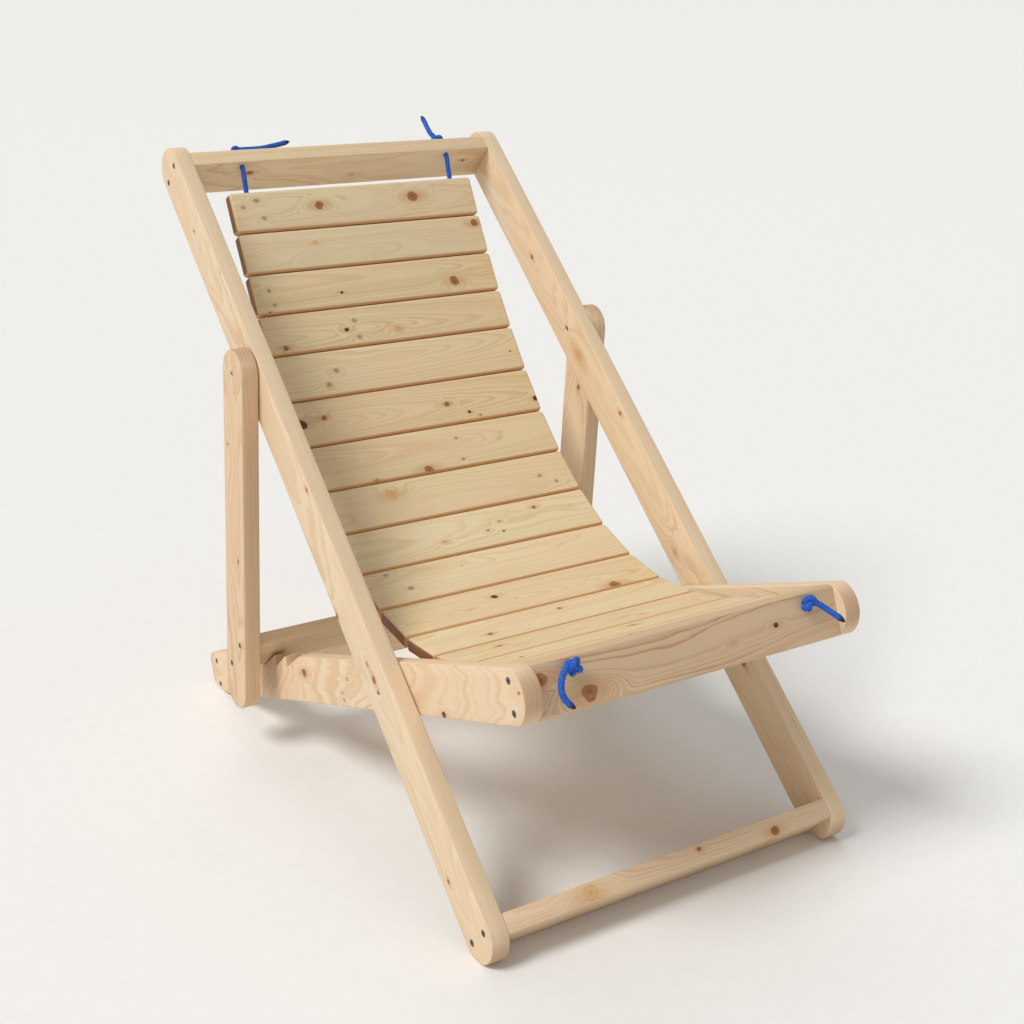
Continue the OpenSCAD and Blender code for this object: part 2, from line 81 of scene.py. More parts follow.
# What follows from them: half widths, pivots, tilts and the frames that boards are modelled in
HALF_W = BOARD_W / 2
BACK_X = FRAME_W / 2 - BOARD_T
SEAT_X = BACK_X - SIDE_GAP - BOARD_T
LEG_X = FRAME_W / 2 + SIDE_GAP
FOOT_Z = HALF_W - FOOT_FLAT
LEAN = radians(BACK_LEAN)
SEAT_PIVOT = (SEAT_PIVOT_UP * cos(LEAN), FOOT_Z + SEAT_PIVOT_UP * sin(LEAN))
PROP_PIVOT = (PROP_PIVOT_UP * cos(LEAN), FOOT_Z + PROP_PIVOT_UP * sin(LEAN))
SKID_RISE = SKID_R - HALF_W
TILT = atan2(SKID_RISE, SKID_BACK) + asin((SEAT_PIVOT[1] - SKID_R + FOOT_FLAT)
                                          / hypot(SKID_BACK, SKID_RISE))
MID_Y = (SEAT_PIVOT[0] - SEAT_FRONT * cos(TILT) - FRONT_R + BACK_LEN * cos(LEAN) + HALF_W) / 2


def seat_point(w, v):
    return (SEAT_PIVOT[0] + w * cos(TILT) + v * sin(TILT), SEAT_PIVOT[1] + v * cos(TILT) - w * sin(TILT))


def back_point(s, v):
    return (s * cos(LEAN) - v * sin(LEAN), FOOT_Z + s * sin(LEAN) + v * cos(LEAN))


SLOPE = atan2(NOTCH_DEEP, NOTCH_PITCH)
BAR_TURN = radians(BAR_LEAN)
bar_ahead = ((NOTCH_DEEP + BAR_SEAT / sin(BAR_TURN) - BAR_SEAT / cos(SLOPE))
             / (tan(SLOPE) + 1 / tan(BAR_TURN)))
BAR_MID = (NOTCH_FIRST + NOTCH_PITCH * (BAR_NOTCH - 1) - bar_ahead
           - cos(BAR_TURN) * BAR_W / 2 + sin(BAR_TURN) * BAR_T / 2,
           HALF_W - NOTCH_DEEP + BAR_SEAT / cos(SLOPE) + bar_ahead * tan(SLOPE)
           + sin(BAR_TURN) * BAR_W / 2 + cos(BAR_TURN) * BAR_T / 2)
bar_at = seat_point(*BAR_MID)
leg_run = (bar_at[0] - PROP_PIVOT[0], bar_at[1] - PROP_PIVOT[1])
LEG_TURN = atan2(-leg_run[1], leg_run[0])
LEG_LEN = hypot(*leg_run) + LEG_BELOW
TOP_RAIL_UNDER = BACK_LEN + TOP_RAIL_PAST - BOARD_T
FRONT_FACE = -(SEAT_FRONT + FRONT_RAIL_PAST)

slat_w = [NARROW_W if i < NARROW_N else WIDE_W for i in range(SLATS)]
rope_joints = [back_point(TOP_RAIL_UNDER - HEAD_DROP, HEAD_RISE)]
for width, angle in zip(slat_w, SLAT_ANGLES):
    y, z = rope_joints[-1]
    step = width + SLAT_GAP
    rope_joints.append((y - step * cos(radians(angle)), z - step * sin(radians(angle))))


def placed(y, z, turn):
    """A board's own frame: Y along it, X across the chair, Z out of its upper edge, in metres."""
    return (Matrix.Translation((0, (y - MID_Y) * MM, z * MM)) @ Matrix.Rotation(turn, 4, "X")
            @ Matrix.Scale(MM, 4))


IN_BACK = placed(0, FOOT_Z, LEAN)
IN_SEAT = placed(*SEAT_PIVOT, -TILT)
IN_PROP = placed(*PROP_PIVOT, -LEG_TURN)
IN_BAR = placed(*bar_at, pi - BAR_TURN - TILT)
IN_SLAT = [placed(*joint, radians(angle)) for joint, angle in zip(rope_joints, SLAT_ANGLES)]

# Camera, at the photograph's angle: it looks down at the chair from the front left
CAMERA_AT = Vector((-1.186165, -1.892490, 1.190869))
YAW, PITCH, ROLL = radians(32.099), radians(-16.795), radians(0.377)
LENS, SHIFT_X, SHIFT_Y = 54.394, 0.02251, -0.06541
ahead = Vector((sin(YAW) * cos(PITCH), cos(YAW) * cos(PITCH), sin(PITCH)))
right = ahead.cross(Vector((0, 0, 1))).normalized()
over = right.cross(ahead)
right, over = right * cos(ROLL) + over * sin(ROLL), over * cos(ROLL) - right * sin(ROLL)
camera = bpy.data.objects.new("camera", bpy.data.cameras.new("camera"))
bpy.context.collection.objects.link(camera)
camera.matrix_world = Matrix.Translation(CAMERA_AT) @ Matrix((right, over, -ahead)).transposed().to_4x4()
camera.data.sensor_width, camera.data.lens = 36, LENS
camera.data.shift_x, camera.data.shift_y = SHIFT_X, SHIFT_Y
camera.data.clip_start, camera.data.clip_end = 0.05, 400
bpy.context.scene.camera = camera


# Making materials
def colour(code):
    """An sRGB hex colour as Blender's linear one."""
    parts = [int(code[i:i + 2], 16) / 255 for i in (1, 3, 5)]
    return (*[c / 12.92 if c <= 0.04045 else ((c + 0.055) / 1.055) ** 2.4 for c in parts], 1)


def add(tree, kind, *inputs, out=0, named=None, **settings):
    """Adds a shader node and gives one of its outputs. Its inputs are values, hex colours or other
    nodes' sockets, in order or by name."""
    made = tree.nodes.new("ShaderNode" + kind)
    for key, value in settings.items():
        setattr(made, key, value)
    for key, value in [*enumerate(inputs), *(named or {}).items()]:
        if isinstance(value, bpy.types.NodeSocket):
            tree.links.new(value, made.inputs[key])
        elif value is not None:
            made.inputs[key].default_value = colour(value) if isinstance(value, str) else value
    return made.outputs[out] if made.outputs else made


def new_material(name):
    material = bpy.data.materials.new(name)
    material.use_nodes = True
    material.node_tree.nodes.clear()
    return material, material.node_tree


# Sizes of the grain's waves and fibres along, across and through a board, and how far the waves reach
SLOW_WAVE, QUICK_WAVE, FIBRE = (300, 60, 60), (70, 14, 14), (50, 0.9, 0.9)
SLOW_REACH, QUICK_REACH = 14, 2.2
RING, SLAT_RING, YEARS_SHIFT = 2.6, 2.4, 7.0  # a ring's width, and how far good and poor years shift it
ROSY_PATCH, FIBRE_STREAK, RESIN_STAIN, END_GRAIN = "#e4c5a4", "#c6a06e", "#c08b53", "#9c6a3c"
# Knots: the wood inside, the wood of the rim and heart, how strong the rim is, and how much resin
# tints the wood round it
KNOTS = {"brown": ("#a66e43", "#6b4023", 0.55, 0.85), "dark": ("#5f3d23", "#33200f", 0.8, 0.6),
         "grey": ("#bcab88", "#514b3c", 0.85, 0.3), "pale": ("#d4ab7a", "#b78a58", 0.5, 0.6)}


def per_length(size):
    """The scale at which a pattern of that size is drawn."""
    return tuple(1 / length for length in size)


def with_knot(tree, tone, r, kind, far, core):
    """The wood's tone with one knot in it: a stain of resin, and a core with fine rings, a heart and
    a rim. Both far and core are distances from the knot's middle, and core is a ragged one."""
    inside, rim, rim_strength, resin = KNOTS[kind]
    stain = add(tree, "MapRange", far, 0.5 * r, 2.3 * r, resin * 0.6, 0, interpolation_type="SMOOTHSTEP")
    tone = add(tree, "Mix", stain, named={6: tone, 7: RESIN_STAIN}, data_type="RGBA", out=2)
    rings = add(tree, "Math", core, 2 * pi / max(1.2, 0.26 * r), operation="MULTIPLY")
    rings = add(tree, "Math", rings, operation="SINE")
    rings = add(tree, "MapRange", rings, -1, 1, 0, 0.35)
    heart = add(tree, "MapRange", core, 0.1 * r, 0.6 * r, 0.45, 0, interpolation_type="SMOOTHSTEP")
    rings = add(tree, "Math", rings, heart, operation="ADD")
    edge = add(tree, "MapRange", core, 0.7 * r, 0.98 * r, 0, rim_strength, interpolation_type="SMOOTHSTEP")
    rings = add(tree, "Math", rings, edge, operation="MAXIMUM")
    wood = add(tree, "Mix", rings, named={6: inside, 7: rim}, data_type="RGBA", out=2)
    inner = add(tree, "MapRange", core, 0.86 * r, 1.16 * r, 1, 0, interpolation_type="SMOOTHSTEP")
    return add(tree, "Mix", inner, named={6: tone, 7: wood}, data_type="RGBA", out=2)


def planed_pine(name, pith, lean, seed, knots, light, late, ring=RING, ends=(END_GRAIN, 0.42), edge_shade_tint=None):
    """Planed, untreated pine. Growth rings are tubes round a pith that lies beside the board and
    leans a little, so faces show long lines and pointed arches, and ends show arcs. A ring's late
    wood is darker and a little smoother than its light early wood. Knots go through the board, and
    the rings flow round them: each is its place along and across, its radius and its kind. The
    board's own coordinates, in mm, are kept on its points. Ends are a colour and how strong it is."""
    material, tree = new_material(name)
    spot = add(tree, "Attribute", attribute_name="grain", out=1)
    place = add(tree, "Mapping", spot, (seed * 7.3, seed * 3.1, seed), None, per_length(SLOW_WAVE))
    slow = add(tree, "TexNoise", place, None, 1, 1.5, 0.45, out=1)
    place = add(tree, "Mapping", spot, (seed * 2.9, seed, seed * 5.7), None, per_length(QUICK_WAVE))
    quick = add(tree, "TexNoise", place, None, 1, 2, 0.5, out=1)
    moved = add(tree, "VectorMath", slow, (-0.5,) * 3, operation="ADD")
    moved = add(tree, "VectorMath", moved, (SLOW_REACH,) * 3, spot, operation="MULTIPLY_ADD")
    small = add(tree, "VectorMath", quick, (-0.5,) * 3, operation="ADD")
    moved = add(tree, "VectorMath", small, (QUICK_REACH,) * 3, moved, operation="MULTIPLY_ADD")
    moved = add(tree, "Mapping", moved, (0, -pith[0], -pith[1]), (0, radians(lean), 0))
    moved = add(tree, "VectorMath", moved, (0, 1, 1), operation="MULTIPLY")
    radius = add(tree, "VectorMath", moved, operation="LENGTH", out=1)
    near = []
    for x, y, r, kind in knots:
        way = add(tree, "VectorMath", spot, (-x, -y, 0), operation="ADD")
        long = add(tree, "VectorMath", way, (0.42, 1, 0), operation="MULTIPLY")
        far = add(tree, "VectorMath", long, operation="LENGTH", out=1)
        pull = add(tree, "MapRange", far, 0.3 * r, 3.4 * r, 1.5 * r, 0, interpolation_type="SMOOTHERSTEP")
        radius = add(tree, "Math", radius, pull, operation="ADD")
        ragged = add(tree, "VectorMath", small, (1.3 * r,) * 3, way, operation="MULTIPLY_ADD")
        ragged = add(tree, "VectorMath", ragged, (0.85, 1, 0), operation="MULTIPLY")
        near.append((r, kind, far, add(tree, "VectorMath", ragged, operation="LENGTH", out=1)))
    # years differ: wide and narrow rings, strong and faint late wood
    year = add(tree, "TexNoise", None, radius, 0.16, 2, 0.6, noise_dimensions="1D")
    season = add(tree, "Math", year, YEARS_SHIFT, radius, operation="MULTIPLY_ADD")
    season = add(tree, "Math", season, ring, operation="DIVIDE")
    season = add(tree, "Math", season, operation="FRACT")
    rise = add(tree, "MapRange", season, 0.25, 0.86, 0, 1, interpolation_type="SMOOTHSTEP")
    fall = add(tree, "MapRange", season, 0.88, 1, 1, 0, interpolation_type="SMOOTHSTEP")
    line = add(tree, "Math", rise, fall, operation="MULTIPLY")
    faint = add(tree, "MapRange", year, 0.3, 0.75, 0.35, 1)
    line = add(tree, "Math", line, faint, operation="MULTIPLY")
    tone = add(tree, "Mix", line, named={6: light, 7: late}, data_type="RGBA", out=2)
    # the slow waves also give rosier patches, and the fibres fine streaks
    patch = add(tree, "MapRange", add(tree, "SeparateColor", slow), 0.35, 0.7, 0, 0.5)
    tone = add(tree, "Mix", patch, named={6: tone, 7: ROSY_PATCH}, data_type="RGBA", out=2)
    place = add(tree, "Mapping", spot, (seed, 0, seed), None, per_length(FIBRE))
    fibre = add(tree, "TexNoise", place, None, 1, 3, 0.6)
    streak = add(tree, "MapRange", fibre, 0.3, 0.75, 0.3, 0)
    tone = add(tree, "Mix", streak, named={6: tone, 7: FIBRE_STREAK}, data_type="RGBA", out=2)
    for knot in near:
        tone = with_knot(tree, tone, *knot)
    # end grain drinks the light: browner and duller; on the slats the ends are darkened much further, as
    # painted shade from the side boards
    end = add(tree, "Attribute", attribute_name="end_grain", out=2)
    dark = add(tree, "MapRange", end, 0.6, 0.95, 0, ends[1])
    tone = add(tree, "Mix", dark, named={6: tone, 7: ends[0]}, data_type="RGBA", out=2)
    if edge_shade_tint:
        # painted shade and painted bounce light: the lower edges, which face down into the gaps between
        # slats, are tinted orange brown
        lower = add(tree, "Attribute", attribute_name="lower_edge", out=2)
        edge_shade_share = add(tree, "MapRange", lower, 0.2, 0.45, 0, 0.9)
        tone = add(tree, "Mix", edge_shade_share, named={6: tone, 7: edge_shade_tint}, data_type="RGBA", out=2)
    rough = add(tree, "MapRange", line, 0, 1, 0.62, 0.5)
    height = add(tree, "Math", line, 0.5, fibre, operation="MULTIPLY_ADD")
    bump = add(tree, "Bump", 0.35, 0.00012, named={"Height": height})
    shader = add(tree, "BsdfPrincipled", tone, named={"Roughness": rough, "Normal": bump, "IOR": 1.5})
    add(tree, "OutputMaterial", shader)
    return material


def braided_rope():
    """Polypropylene cord, eight strands wound each way: royal blue, with a soft sheen, painted shade in
    the braid's valleys and painted glints of pale blue where fibres turn up, and melted ends, nearly
    black and smooth. It is drawn on the tube's own map: the first number counts strands round it, the
    second millimetres along it."""
    material, tree = new_material("braided_polypropylene_cord")
    place = add(tree, "UVMap", uv_map="along")
    strand = add(tree, "SeparateXYZ", place)
    lay = add(tree, "Math", add(tree, "SeparateXYZ", place, out=1), 1 / STRAND_LAY, operation="MULTIPLY")
    ways = [add(tree, "Math", strand, lay, operation=turn) for turn in ("ADD", "SUBTRACT")]
    crowns = []
    for way in ways:
        crown = add(tree, "Math", way, operation="FRACT")
        crown = add(tree, "Math", crown, pi, operation="MULTIPLY")
        crowns.append(add(tree, "Math", crown, operation="SINE"))
    floors = [add(tree, "Math", way, operation="FLOOR") for way in ways]
    parity = add(tree, "Math", *floors, operation="ADD")
    parity = add(tree, "Math", parity, 2, operation="FLOORED_MODULO")
    crown = add(tree, "Mix", parity, None, *crowns, out=0)
    fibre_noise = add(tree, "Mapping", place, None, None, (2.2, 0.6, 1))
    fibre_noise = add(tree, "TexNoise", fibre_noise, None, 0.9, 3, 0.75)
    pale = add(tree, "MapRange", fibre_noise, 0.55, 0.68, 0, 0.8)
    melt = add(tree, "Attribute", attribute_name="melted", out=2)
    # painted shade: the braid's valleys are a darker blue than its crowns
    tone = add(tree, "Mix", crown, named={6: "#041a55", 7: "#1766dc"}, data_type="RGBA", out=2)
    # painted glints: pale blue where fibres turn up
    tone = add(tree, "Mix", pale, named={6: tone, 7: "#86b8f4"}, data_type="RGBA", out=2)
    tone = add(tree, "Mix", melt, named={6: tone, 7: "#140b2a"}, data_type="RGBA", out=2)
    rough = add(tree, "MapRange", melt, 0, 1, 0.55, 0.25)
    height = add(tree, "Math", crown, fibre_noise, operation="ADD")
    bump = add(tree, "Bump", 0.8, 0.0006, named={"Height": height})
    shader = add(tree, "BsdfPrincipled", tone,
                 named={"Roughness": rough, "Normal": bump, "Specular IOR Level": 0.3})
    add(tree, "OutputMaterial", shader)
    return material


def zinc_plate(name, dark, bright):
    """Zinc on steel: silver grey, slightly blotched, with the sheen of a tumbled fitting."""
    material, tree = new_material(name)
    blotch = add(tree, "TexNoise", add(tree, "TexCoord", out=3), None, 900, 3, 0.6)
    tone = add(tree, "Mix", blotch, named={6: dark, 7: bright}, data_type="RGBA", out=2)
    rough = add(tree, "MapRange", blotch, 0.3, 0.7, 0.26, 0.42)
    bump = add(tree, "Bump", 0.3, 0.00005, named={"Height": blotch})
    shader = add(tree, "BsdfPrincipled", tone, 1.0, rough, named={"Normal": bump})
    add(tree, "OutputMaterial", shader)
    return material


# Modelling: primitives, edit-mode operators and applied modifiers
def block(name, low, high):
    """A cube between two corners."""
    low, high = Vector(low), Vector(high)
    bpy.ops.mesh.primitive_cube_add(size=1, location=(low + high) / 2, scale=high - low)
    piece = bpy.context.object
    piece.name = piece.data.name = name
    bpy.ops.object.transform_apply(location=True, rotation=True, scale=True)
    return piece


def rod(name, radius, low, high, axis, sides=32, tip_radius=None):
    """A round bar or cone from one point to another along an axis."""
    low, high = Vector(low), Vector(high)
    turn = {"X": (0, pi / 2, 0), "Y": (-pi / 2, 0, 0)}[axis]
    bpy.ops.mesh.primitive_cone_add(vertices=sides, radius1=radius, depth=(high - low).length,
                                    radius2=radius if tip_radius is None else tip_radius,
                                    location=(low + high) / 2, rotation=turn)
    piece = bpy.context.object
    piece.name = piece.data.name = name
    bpy.ops.object.transform_apply(location=True, rotation=True, scale=True)
    return piece


def work(piece, wanted, operator, kind="EDGE", **settings):
    """In edit mode, one operator on the edges or faces that wanted() picks."""
    bpy.context.view_layer.objects.active = piece
    piece.select_set(True)
    bpy.ops.object.mode_set(mode="EDIT")
    bpy.ops.mesh.select_mode(type=kind)
    bpy.ops.mesh.select_all(action="DESELECT")
    mesh = bmesh.from_edit_mesh(piece.data)
    for part in mesh.edges if kind == "EDGE" else mesh.faces:
        part.select_set(bool(wanted(part)))
    mesh.select_flush_mode()
    bmesh.update_edit_mesh(piece.data)
    operator(**settings)
    bpy.ops.object.mode_set(mode="OBJECT")
    piece.select_set(False)


def across(y, z):
    """Picks the edges that run along X at that place."""
    return lambda edge: all(abs(v.co.y - y) < 0.01 and abs(v.co.z - z) < 0.01 for v in edge.verts)


def apply_modifier(piece, kind, **settings):
    modifier = piece.modifiers.new(kind, kind)
    for key, value in settings.items():
        setattr(modifier, key, value)
    bpy.context.view_layer.objects.active = piece
    bpy.ops.object.modifier_apply(modifier=modifier.name)


def cut(piece, *cutters, operation="DIFFERENCE"):
    for cutter in cutters:
        apply_modifier(piece, "BOOLEAN", operation=operation, solver="EXACT", object=cutter)
        bpy.data.objects.remove(cutter)


def ease(piece, width, rounds=3):
    """Sanded arrises: every sharp edge is rounded a little."""
    apply_modifier(piece, "BEVEL", width=width, segments=rounds, limit_method="ANGLE",
                   angle_limit=SHARP, use_clamp_overlap=False)


def round_waste(low, high, centre, radius):
    """What is sawn off outside an arc: a block with a round bar taken out of it."""
    waste = block("waste", low, high)
    cut(waste, rod("arc", radius, (low[0] - PAST, *centre), (high[0] + PAST, *centre), "X", sides=128))
    return waste


def countersinks(piece, x, places):
    """Screw seats in the face at x, a hair wider than the heads, so that a dark ring shows."""
    for y, z in places:
        cut(piece, rod("seat", SCREW_D / 2, (x - SCREW_CONE - SEAT_DEEPER, y, z), (x + CONE_PAST, y, z),
                       "X", sides=24, tip_radius=SCREW_HEAD_D / 2 + SEAT_WIDER))


def long_board(name, low_x, high_x, length):
    """A board with a half circle at each end: both corners bevelled until they meet. Its ends'
    centres are at 0 and at length."""
    piece = block(name, (low_x, -HALF_W, -HALF_W), (high_x, length + HALF_W, HALF_W))
    for end in (-HALF_W, length + HALF_W):
        for z in (-HALF_W, HALF_W):
            work(piece, across(end, z), bpy.ops.mesh.bevel, offset=HALF_W, segments=18)
    work(piece, lambda face: True, bpy.ops.mesh.remove_doubles, "FACE", threshold=0.05)
    return piece


def seat_board(name, low_x, high_x):
    """The seat boards' outline: a nose and a skid sawn to their arcs, and a small round at the tail's
    top."""
    nose, tail, reach = -SEAT_FRONT - FRONT_R, SKID_BACK + TAIL_LEN, HALF_W + PAST
    piece = block(name, (low_x, nose, -HALF_W), (high_x, tail, HALF_W))
    work(piece, across(tail, HALF_W), bpy.ops.mesh.bevel, offset=TAIL_R, segments=8)
    low_x, high_x = low_x - PAST, high_x + PAST
    cut(piece,
        round_waste((low_x, nose - PAST, -reach), (high_x, PAST - SEAT_FRONT - FRONT_R / 2, reach),
                    (-SEAT_FRONT, 0), FRONT_R),
        round_waste((low_x, SKID_BACK, -reach), (high_x, tail + PAST, 0), (SKID_BACK, SKID_RISE), SKID_R))
    return piece


def cross_rail(name, low, high, half_length, outline):
    """A rail between two side boards, trimmed to their outline."""
    piece = block(name, (-half_length, low, -HALF_W - PAST), (half_length, high, HALF_W + PAST))
    cut(piece, outline, operation="INTERSECT")
    return piece


def foot(piece, place):
    """Saws off what would reach below the floor, so that the board stands on a small flat."""
    ground = block("ground", (-FRAME_W, -FRAME_W * 2, -BOARD_W), (FRAME_W, FRAME_W * 2, 0))
    ground.data.transform(place.inverted() @ Matrix.Scale(MM, 4))
    cut(piece, ground)


def own_copy(piece, name):
    twin = piece.copy()
    twin.data = piece.data.copy()
    twin.name = twin.data.name = name
    bpy.context.collection.objects.link(twin)
    return twin


def mirrored(piece, name):
    """The other side's board: flipped across the middle, with its faces turned out again."""
    twin = own_copy(piece, name)
    twin.data.transform(Matrix.Scale(-1, 4, (1, 0, 0)))
    work(twin, lambda face: True, bpy.ops.mesh.flip_normals, "FACE")
    return twin


def finish_board(piece, place, body, slot, material, axes, *nodes):
    """Writes the board's own coordinates on its points and how far each face looks to an end or down,
    then puts it in its place and on its body. The axes run along, across and through the board."""
    mesh = piece.data
    mesh.materials.clear()
    mesh.materials.append(material)
    axes = ["XYZ".index(axis) for axis in axes]
    points = np.empty(len(mesh.vertices) * 3, np.float32)
    mesh.vertices.foreach_get("co", points)
    grain = points.reshape(-1, 3)[:, axes]
    mesh.attributes.new("grain", "FLOAT_VECTOR", "POINT").data.foreach_set("vector", grain.ravel())
    for name, values in (("end_grain", [abs(face.normal[axes[0]]) for face in mesh.polygons]),
                         ("lower_edge", [-face.normal[axes[1]] for face in mesh.polygons])):
        mesh.attributes.new(name, "FLOAT", "FACE").data.foreach_set("value", values)
    bpy.context.view_layer.objects.active = piece
    piece.select_set(True)
    bpy.ops.object.shade_smooth_by_angle(angle=SMOOTH)
    piece.select_set(False)
    mesh.transform(place)
    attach(piece, body)
    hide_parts(*nodes)


def bore(piece, low_x, high_x, y):
    """A pin's hole through a board."""
    cut(piece, rod("bore", PIN_HOLE_R, (low_x - PAST, y, 0), (high_x + PAST, y, 0), "X"))


def rope_holes(piece, low_y, high_y, z=0):
    for x in (-ROPE_X, ROPE_X):
        cut(piece, rod("hole", ROPE_HOLE_R, (x, low_y - PAST, z), (x, high_y + PAST, z), "Y", sides=24))


# Back frame: two long side boards, a top rail with two rope holes, and a bottom rail
side_screws = [(TOP_RAIL_UNDER + BOARD_T / 2, up * SCREW_APART / 2) for up in (-1, 1)] + [
    (BOARD_T / 2 - BOTTOM_RAIL_PAST, up * SCREW_APART / 2) for up in (-1, 1)]
side_board = long_board("back_side_board_right", BACK_X, FRAME_W / 2, BACK_LEN)
ease(side_board, SIDE_EASE)
for pivot_up in (SEAT_PIVOT_UP, PROP_PIVOT_UP):
    bore(side_board, BACK_X, FRAME_W / 2, pivot_up)
# the prop pins end below the inner face, in a widened mouth
cut(side_board, rod("mouth", MOUTH_R, (BACK_X - CONE_PAST, PROP_PIVOT_UP, 0),
                    (BACK_X + MOUTH_DEEP, PROP_PIVOT_UP, 0), "X", tip_radius=PIN_HOLE_R))
countersinks(side_board, FRAME_W / 2, side_screws)
foot(side_board, IN_BACK)
other = mirrored(side_board, "back_side_board_left")
right_pine = planed_pine("planed_pine_back_board_right", (14, 46), 1.6, 3.2,
                         [(1031, 5, 3.5, "brown"), (827, -4, 9, "pale"), (691, 24, 3, "brown"),
                          (450, -12, 5, "pale"), (240, 14, 4, "brown")], "#e2cfb1", "#d3b087")
left_pine = planed_pine("planed_pine_back_board_left", (-9, 52), -1.2, 8.7,
                        [(1149, 0, 2.2, "dark"), (654, 27, 3, "brown"), (480, -33, 4, "brown"),
                         (388, -1, 4, "grey"), (364, 1, 5, "brown"), (900, 12, 2, "dark"),
                         (80, -16, 3, "brown")], "#e2cfb1", "#d3b087")
finish_board(side_board, IN_BACK, "back_frame", "frame_pine", right_pine, "YZX", "back_rail_right")
finish_board(other, IN_BACK, "back_frame", "frame_pine", left_pine, "YZX", "back_rail_left")

top_rail = cross_rail("top_cross_rail", TOP_RAIL_UNDER, TOP_RAIL_UNDER + BOARD_T, BACK_X,
                      long_board("outline", -BACK_X - PAST, BACK_X + PAST, BACK_LEN))
ease(top_rail, RAIL_EASE)
rope_holes(top_rail, TOP_RAIL_UNDER, TOP_RAIL_UNDER + BOARD_T, HEAD_HOLE_RISE)
finish_board(top_rail, IN_BACK, "back_frame", "frame_pine",
             planed_pine("planed_pine_top_rail", (20, 40), 1.1, 12.4,
                         [(-172, 8, 5, "brown"), (232, 6, 3, "brown"), (20, -14, 4, "pale")],
                         "#dfcba9", "#c7a375"),
             "XZY", "top_rail")

bottom_rail = cross_rail("bottom_cross_rail", -BOTTOM_RAIL_PAST, BOARD_T - BOTTOM_RAIL_PAST, BACK_X,
                         long_board("outline", -BACK_X - PAST, BACK_X + PAST, BACK_LEN))
ease(bottom_rail, RAIL_EASE)
foot(bottom_rail, IN_BACK)
finish_board(bottom_rail, IN_BACK, "back_frame", "frame_pine",
             planed_pine("planed_pine_bottom_rail", (12, 60), -1.4, 17.9,
                         [(-144, -2, 9, "pale"), (170, -7, 6, "brown"), (40, 4, 3, "brown")],
                         "#dcc6a7", "#c9a37a"),
             "XYZ", "bottom_rail")

# Seat frame: side boards with a round nose, saw-tooth notches and a skid, and two rails
seat_side = seat_board("seat_side_board_right", SEAT_X, SEAT_X + BOARD_T)
for i in range(NOTCHES):
    wall = NOTCH_FIRST + i * NOTCH_PITCH
    run = NOTCH_PITCH + (NOTCH_LEAD if i == 0 else 0)
    tooth = block("tooth", (SEAT_X - PAST, wall - run, HALF_W - NOTCH_DEEP),
                  (SEAT_X + BOARD_T + PAST, wall, HALF_W + PAST))
    work(tooth, across(wall - run, HALF_W - NOTCH_DEEP), bpy.ops.transform.translate,
         value=(0, 0, NOTCH_DEEP))
    cut(seat_side, tooth)
ease(seat_side, SEAT_EASE)
bore(seat_side, SEAT_X, SEAT_X + BOARD_T, 0)
seat_screws = [(y, up * SCREW_APART / 2) for y in (FRONT_FACE + BOARD_T / 2, SKID_BACK + REAR_RAIL_PAST)
               for up in (-1, 1)]
countersinks(seat_side, SEAT_X + BOARD_T, seat_screws)
foot(seat_side, IN_SEAT)
other = mirrored(seat_side, "seat_side_board_left")
finish_board(seat_side, IN_SEAT, "seat_frame", "frame_pine",
             planed_pine("planed_pine_seat_board_right", (-18, 30), 2.2, 21.3,
                         [(-150, 10, 5, "brown"), (330, -8, 6, "pale")], "#e3cfb1", "#cfa97e"),
             "YZX", "seat_rail_right")
finish_board(other, IN_SEAT, "seat_frame", "frame_pine",
             planed_pine("planed_pine_seat_board_left", (12, 26), -3.0, 26.6,
                         [(314, 10, 6, "brown"), (160, 6, 3, "grey"), (182, -26, 3, "grey"),
                          (185, -15, 1.6, "dark"), (-122, -31, 4.5, "dark"), (-322, 6, 2, "brown")],
                         "#e3ceb0", "#cca477"),
             "YZX", "seat_rail_left")

front_rail = cross_rail("front_cross_rail", FRONT_FACE, FRONT_FACE + BOARD_T, SEAT_X,
                        seat_board("outline", -SEAT_X - PAST, SEAT_X + PAST))
ease(front_rail, FRONT_EASE)
rope_holes(front_rail, FRONT_FACE, FRONT_FACE + BOARD_T, FRONT_HOLE_RISE)
# The front rail's tones are darker than the other boards': painted shade, for the shade that its front face
# lies in
finish_board(front_rail, IN_SEAT, "seat_frame", "frame_pine",
             planed_pine("planed_pine_front_rail", (58, 6), 0.6, 31.5,
                         [(-236, 14, 8, "brown"), (-169, -17, 10, "brown"), (136, 2, 3.4, "dark"),
                          (60, -6, 3, "pale")], "#d0b595", "#b07c54"),
             "XZY", "front_rail")

rear_low = SKID_BACK + REAR_RAIL_PAST - BOARD_T / 2
rear_rail = cross_rail("rear_cross_rail", rear_low, rear_low + BOARD_T, SEAT_X,
                       seat_board("outline", -SEAT_X - PAST, SEAT_X + PAST))
ease(rear_rail, RAIL_EASE)
foot(rear_rail, IN_SEAT)
finish_board(rear_rail, IN_SEAT, "seat_frame", "frame_pine",
             planed_pine("planed_pine_rear_rail", (16, 44), 1.5, 36.2,
                         [(-90, 6, 5, "brown"), (120, -12, 4, "pale")], "#dfcaa8", "#c9a270"),
             "XZY", "rear_rail")

